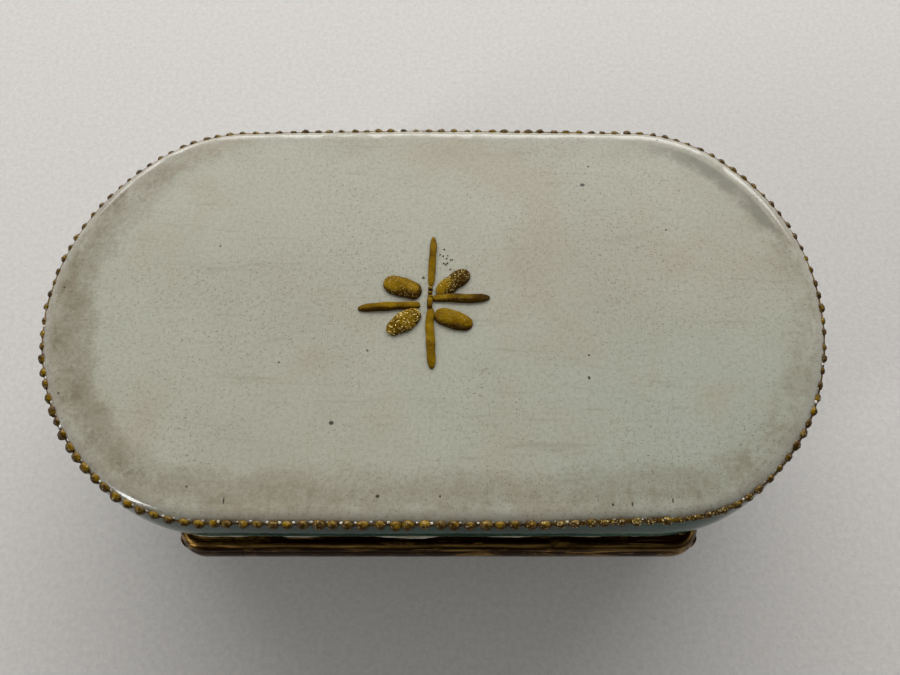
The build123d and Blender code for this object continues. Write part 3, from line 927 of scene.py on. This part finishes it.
def bedding(name, node, body, side, seed):
    """Lumpy line of plaster squeezed out between the lip of the porcelain and the band."""
    swell = 0.10 + 0.13 * wave_round(3.5, seed) + 0.06 * wave_round(1.1, seed + 1)
    drip = 0.16 + 0.16 * wave_round(2.4, seed + 2) + 0.05 * wave_round(0.9, seed + 4)
    top = PARTING_Z + side * (LIP_HEIGHT - 0.02)
    low = PARTING_Z + side * BAND_HEIGHT
    squeezed = np.clip(3 * LINE_NORMALS[:, 1] - 1.5, 0, 1) * (0.17 + 0.30 * wave_round(4.5, seed + 6))
    tuck = np.clip(BAND_OUTER + 0.08 + swell, BAND_OUTER + 0.03, FLARE - 0.02) + squeezed
    hang = np.clip(drip, 0.02, 0.4) * side
    steps = 9
    rings = [ring_at(REBATE + 0.02, top)]
    for k in range(steps):
        angle = math.pi / 2 * (1 - 2 * k / (steps - 1))
        middle = (top + low - hang) / 2
        reach = abs(top - low + hang) / 2
        offset = BAND_OUTER - 0.05 + (tuck - BAND_OUTER + 0.05) * math.cos(angle) ** 0.8
        rings.append(ring_at(0, middle + side * reach * math.sin(angle), offset))
    rings.append(ring_at(BAND_OUTER - 0.02, low))
    rings.append(ring_at(REBATE + 0.02, low))
    faces = grid_faces(len(rings), AROUND, wrap_rows=True)
    piece = make_piece(name, np.concatenate(rings), faces, [PLASTER])
    settle(clean(piece, 70), body, "plaster", node)


# ------------ hinge

def hinge_path():
    """Filed plan outline of the hinge as points and inward normals, from the band to the band."""
    radius = HINGE_END_RADIUS
    back = HINGE_AXIS.y + BARREL_RADIUS
    corner_y = back - radius
    right = HINGE_HIGH.x - radius
    left = HINGE_LOW.x + radius
    places = [((HINGE_HIGH.x, corner_y - 0.3), (-1.0, 0.0))]

    def turn_corner(centre_x, first):
        for degrees in range(first, first + 90, 3):
            c, s = math.cos(math.radians(degrees)), math.sin(math.radians(degrees))
            places.append(((centre_x + radius * c, corner_y + radius * s), (-c, -s)))

    turn_corner(right, 0)
    for x in np.linspace(right, left, 420):
        places.append(((x, back), (0.0, -1.0)))
    turn_corner(left, 93)
    places.append(((HINGE_LOW.x, corner_y - 0.3), (1.0, 0.0)))
    return places


def bearer_profile():
    """Closed section of a bearer as (inset, height): hood, crown, cove, ledge, back and channel."""
    def at(radius, degrees):
        angle = math.radians(degrees)
        return (BARREL_RADIUS - radius * math.cos(angle), radius * math.sin(angle))

    tip = at(CHANNEL_RADIUS + 0.15, 53.5)
    ledge = HINGE_HIGH.z - PARTING_Z - 0.03
    hood = arc_points(tip, (0.80, 1.73), (1.22, 1.90), 12)
    crown = arc_points((1.22, 1.90), (1.33, 1.91), (1.44, 1.86), 5)
    cove = arc_points((1.44, 1.86), (1.78, 1.74), (2.22, ledge - 0.1), 12)
    shelf = [
        straight((2.22, ledge - 0.1), (2.36, ledge), 3),
        straight((2.36, ledge), (3.04, ledge), 4),
        straight((3.04, ledge), (3.04, 0.06), 4),
        straight((3.04, 0.06), (2.94, 0.06), 2),
    ]
    channel = [at(CHANNEL_RADIUS, degrees) for degrees in np.linspace(176, 53.5, 22)]
    outside = len(joined(hood, crown, cove))
    return joined(hood, crown, cove, *shelf) + channel, outside


def bearer(name, node, body, side, seed):
    """Long soldered strip whose section follows the filed plan outline, waved and rubbed by hand, with
    painted highlight lines along its crown and hood.
    """
    profile, outside = bearer_profile()
    path = hinge_path()
    vertices = []
    ridge = []
    for (x, y), (nx, ny) in path:
        long_wave = wave(x / 6, y / 6, 0, seed)
        short_wave = wave(x / 1.6, y / 1.6, 0, seed + 1)
        wander = 0.15 * wave(x / 4, y / 4, 0, seed + 3)
        # strength of the painted highlight lines along the crown and the hood
        crown_highlight = clamp(0.7 + 0.9 * long_wave)
        hood_highlight = clamp(0.15 + 1.3 * wave(x / 5, y / 5, 0, seed + 4))
        for index, (inset, height) in enumerate(profile):
            if 0 < index < outside:
                inset += 0.045 * long_wave + 0.02 * short_wave
                height += 0.03 * wave(x / 3.5, inset * 1.5, 0, seed + 2) + 0.012 * short_wave - 0.02
            vertices.append((x + nx * inset, y + ny * inset, PARTING_Z + side * height))
            # ridge: the painted highlight lines, narrow bands on the crown and the hood
            crown_line = crown_highlight * math.exp(-((inset - 1.02 - wander) / 0.10) ** 2)
            hood_line = hood_highlight * math.exp(-((inset - 0.66 + wander) / 0.08) ** 2)
            ridge.append(max(crown_line, hood_line))
    faces = capped(len(path), len(profile))
    piece = make_piece(name, vertices, faces, [HINGE_BRASS], None, {"ridge": ridge})
    settle(clean(piece, 35), body, "brass", node)


def inside_filed_end(x, outward, up):
    """Whether points of the barrel lie inside the hinge's rounded-off ends."""
    beyond = np.maximum(0, np.maximum(x - HINGE_HIGH.x, HINGE_LOW.x - x) + HINGE_END_RADIUS)
    across = np.maximum(0, outward - BARREL_RADIUS + HINGE_END_RADIUS)
    depth = HINGE_END_RADIUS - np.hypot(beyond, across)
    side = BARREL_RADIUS ** 2 - np.minimum(np.abs(up), BARREL_RADIUS) ** 2
    return (np.hypot(outward, up) <= BARREL_RADIUS) & (depth >= BARREL_RADIUS - np.sqrt(side))


def knuckle(node, seed):
    """Length of tube with eased ends, file marks, and its outer end filed to the hinge's plan."""
    low, high = node_box(node)
    first = max(low.x - 0.05, HINGE_LOW.x + 0.07)
    last = min(high.x + 0.05, HINGE_HIGH.x - 0.07)
    eased = 0.05
    steps = [first, first + 0.02, first + eased, *np.linspace(first + 0.2, last - 0.2, 60)]
    steps += [last - eased, last - 0.02, last]
    columns = 96
    angles = np.arange(columns) * 2 * math.pi / columns
    vertices = []
    for x in steps:
        beyond = max(x - HINGE_HIGH.x, HINGE_LOW.x - x) + HINGE_END_RADIUS
        centre = -clamp(beyond / HINGE_END_RADIUS)
        # close in on the filed surface along each ray from the centre
        near, far = np.zeros(columns), np.full(columns, 3.0)
        for halving in range(16):
            middle = (near + far) / 2
            held = inside_filed_end(x, centre + middle * np.cos(angles), middle * np.sin(angles))
            near, far = np.where(held, middle, near), np.where(held, far, middle)
        depth = min(x - first, last - x)
        worn = 0.03 * max(0, 1 - depth / eased) ** 2
        for angle, reach in zip(angles, near):
            dents = 0.012 * wave(x / 1.1, 2 * math.cos(angle), 2 * math.sin(angle), seed) - 0.012
            reach += dents - worn
            outward = centre + reach * math.cos(angle)
            vertices.append((x, HINGE_AXIS.y + outward, PARTING_Z + reach * math.sin(angle)))
    name = node.replace("hinge_knuckle", "barrel")
    piece = make_piece(name, vertices, capped(len(steps), columns), [HINGE_BRASS])
    settle(clean(piece, 40), node.split("_")[0], "brass", node)


def thumb_piece():
    """Fluted lug on the front of the lid's band, like half a shell."""
    flutes = 9
    rows, columns = 26, 181
    half_width = (THUMB_HIGH.x - THUMB_LOW.x) / 2
    reach = THUMB_HIGH.y - THUMB_LOW.y
    middle_z = (THUMB_LOW.z + THUMB_HIGH.z) / 2
    half_height = (THUMB_HIGH.z - THUMB_LOW.z) / 2
    vertices = []
    for row in range(rows):
        share = row / (rows - 1)
        rise = math.cos(math.asin(share)) ** 0.8
        for column in range(columns):
            angle = math.pi * (1 + column / (columns - 1))
            flute = abs(math.cos(flutes * angle))
            scallop = 1 - 0.05 * (1 - flute) * share
            x = half_width * share * scallop * math.cos(angle)
            y = THUMB_HIGH.y + 0.12 + (reach + 0.12) * share * scallop * math.sin(angle)
            dip = 0.13 * (1 - flute) * min(1, 2.2 * share) * rise
            vertices.append((x, y, half_height * rise - dip))
    grid = grid_faces(rows, columns, wrap_columns=False)
    top = [(x, y, middle_z + z) for x, y, z in vertices]
    bottom = [(x, y, middle_z - z) for x, y, z in vertices]
    count = len(vertices)
    faces = grid + [tuple(corner + count for corner in reversed(face)) for face in grid]
    left = [row * columns for row in range(rows)]
    right = [row * columns + columns - 1 for row in range(rows)]
    faces.append(tuple(left + [corner + count for corner in reversed(left)]))
    faces.append(tuple([corner + count for corner in right] + list(reversed(right))))
    piece = make_piece("thumb_lug", top + bottom, faces, [BRASS])
    settle(clean(piece, 50), "lid", "brass", "lid_thumb_piece")


# ------------ scene

def give_brass():
    """The bands, the gallery and the pin keep their CAD shapes and get worn brass."""
    for name, node in frame["nodes"].items():
        if "band" in name or "gallery" in name or "pin" in name:
            node.data.materials.clear()
            node.data.materials.append(HINGE_BRASS if "pin" in name else BRASS)


def floor():
    size = 1500
    corners = [(-size, -size, 0), (size, -size, 0), (size, size, 0), (-size, size, 0)]
    piece = make_piece("floor", corners, [(0, 1, 2, 3)], [paper()])


def area_light(name, place, aim, size, power):
    data = bpy.data.lights.new(name, "AREA")
    data.shape = "RECTANGLE"
    data.size, data.size_y = (value * MM for value in size)
    data.energy = power
    light = bpy.data.objects.new(name, data)
    light.location = Vector(place) * MM
    light.rotation_mode = "QUATERNION"
    light.rotation_quaternion = (Vector(aim) - Vector(place)).to_track_quat("-Z", "Y")
    bpy.context.scene.collection.objects.link(light)


def studio():
    """Soft light from a wide window at the front, and a surround that is dark behind the hinge."""
    area_light("window", (-10, -430, 330), (0, 0, 10), (900, 340), 3.65)
    area_light("side_card", (330, 230, 235), (0, 0, 15), (60, 170), 0.34)
    world = bpy.data.worlds.new("studio")
    world.use_nodes = True
    tree = Tree(world.node_tree)
    way = tree.add("SeparateXYZ", Vector=tree.add("TexCoord").outputs["Generated"]).outputs
    sideways = tree.times(tree.math("ABSOLUTE", way["X"]), 1.05)
    front = tree.ramp(tree.math("SUBTRACT", sideways, way["Y"]), -0.3, 0.9, 0.0, 0.55)
    glow = tree.times(front, tree.ramp(way["Z"], 0.95, 0.5))
    light = {"Color": (1.0, 0.99, 0.97, 1), "Strength": tree.plus(glow, 0.1)}
    shade = tree.wire(tree.nodes["Background"], light)
    backdrop = tree.add("Background", Color=srgb(205, 203, 200))
    choice = tree.add("MixShader")
    seen = tree.add("LightPath").outputs["Is Camera Ray"]
    for index, value in enumerate((seen, shade.outputs[0], backdrop.outputs[0])):
        tree.put(value, choice.inputs[index])
    tree.put(choice.outputs[0], tree.nodes["World Output"].inputs["Surface"])
    bpy.context.scene.world = world
    bpy.context.scene.view_settings.view_transform = "Standard"


def camera():
    """Close overhead view from the hinge side, leaning towards the front."""
    data = bpy.data.cameras.new("camera")
    data.sensor_width = 36
    data.lens = CAMERA_LENS
    data.clip_start = 0.001
    view = bpy.data.objects.new("camera", data)
    view.location = CAMERA_PLACE * MM
    view.rotation_euler = (math.radians(CAMERA_TILT), 0, math.radians(180))
    bpy.context.scene.collection.objects.link(view)
    bpy.context.scene.camera = view


porcelain("lid_porcelain", "lid_shell", "lid", LID_HIGH.z, 1, LID_INSIDE, 3)
porcelain("base_porcelain", "base_shell", "base", BASE_LOW.z, -1, BASE_INSIDE, 8)
bead_border("lid_beads", "lid_bead_border", "lid", LID_BEADS_LOW, LID_BEADS_HIGH, 5)
bead_border("base_beads", "base_bead_border", "base", BASE_BEADS_LOW, BASE_BEADS_HIGH, 6)
motif()
bedding("lid_plaster", "lid_bedding", "lid", 1, 14)
bedding("base_plaster", "base_bedding", "base", -1, 17)
bearer("lid_hinge_strip", "lid_joint_bearer", "lid", 1, 23)
bearer("base_hinge_strip", "base_joint_bearer", "base", -1, 27)
for name in sorted(frame["nodes"]):
    if "hinge_knuckle" in name:
        knuckle(name, len(name) + ord(name[-1]))
thumb_piece()
give_brass()
floor()
studio()
camera()
